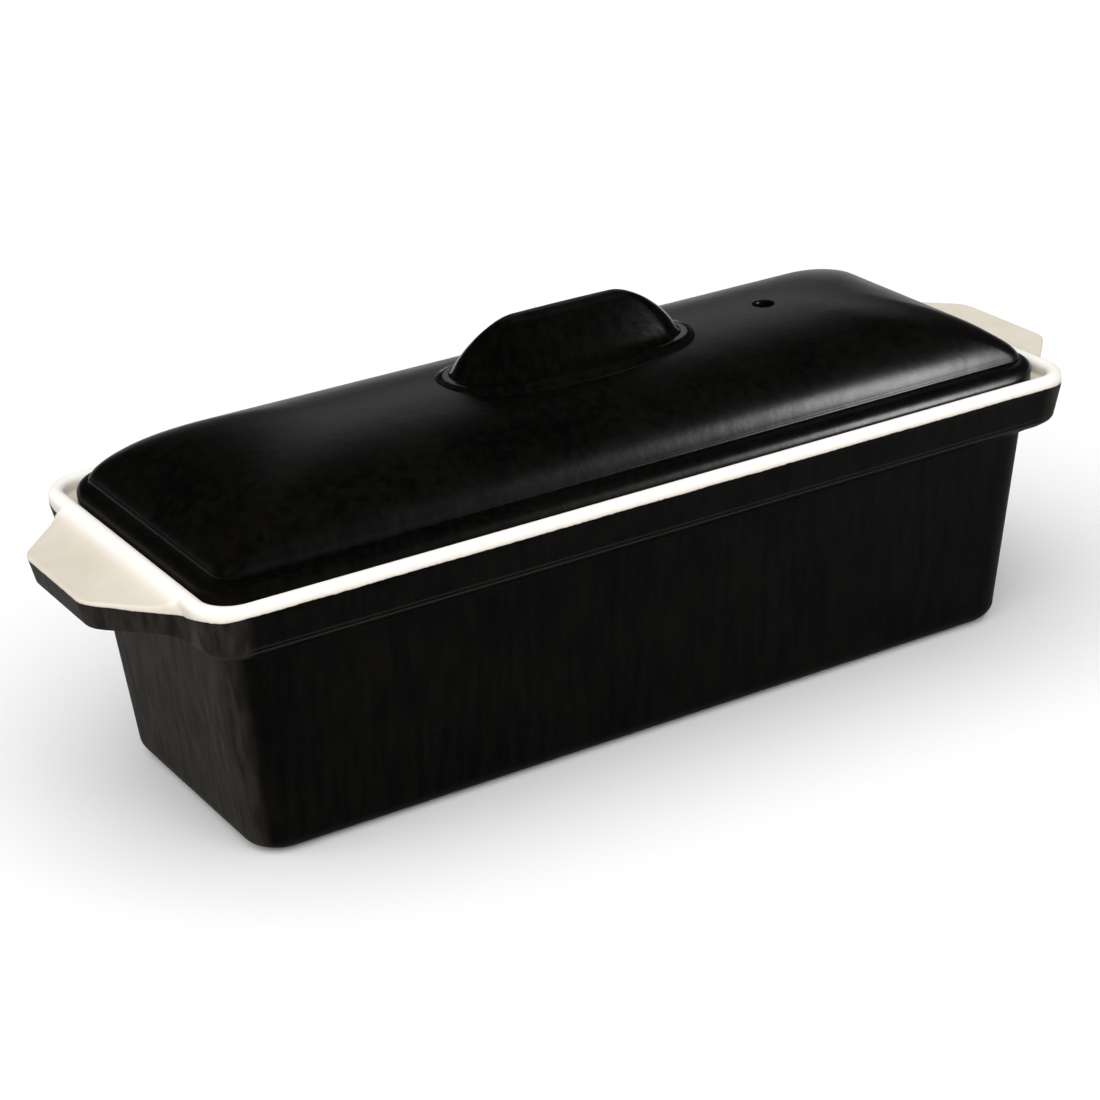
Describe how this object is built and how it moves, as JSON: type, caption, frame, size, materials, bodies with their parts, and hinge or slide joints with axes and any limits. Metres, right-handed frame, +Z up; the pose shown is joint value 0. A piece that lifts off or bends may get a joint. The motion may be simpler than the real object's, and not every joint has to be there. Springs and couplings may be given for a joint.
{
  "type": "terrine dish",
  "caption": "Oblong cast-iron terrine with flared lug handles and a loose domed lid, which rests on an inner ledge and is lifted by an oval fin.",
  "frame": {"origin": "middle of the flat underside", "axes": "+Z up out of the dish, +X along the length through the lug handles, +Y across"},
  "size_m": [0.323, 0.1142, 0.1197],
  "materials": {
    "dish_enamel": "satin black enamel outside, gloss cream enamel inside and on the rim bead",
    "lid_enamel": "satin black enamel"
  },
  "bodies": {
    "root": {"dish": "dish_enamel", "lid": "lid_enamel"}
  },
  "joints": []
}
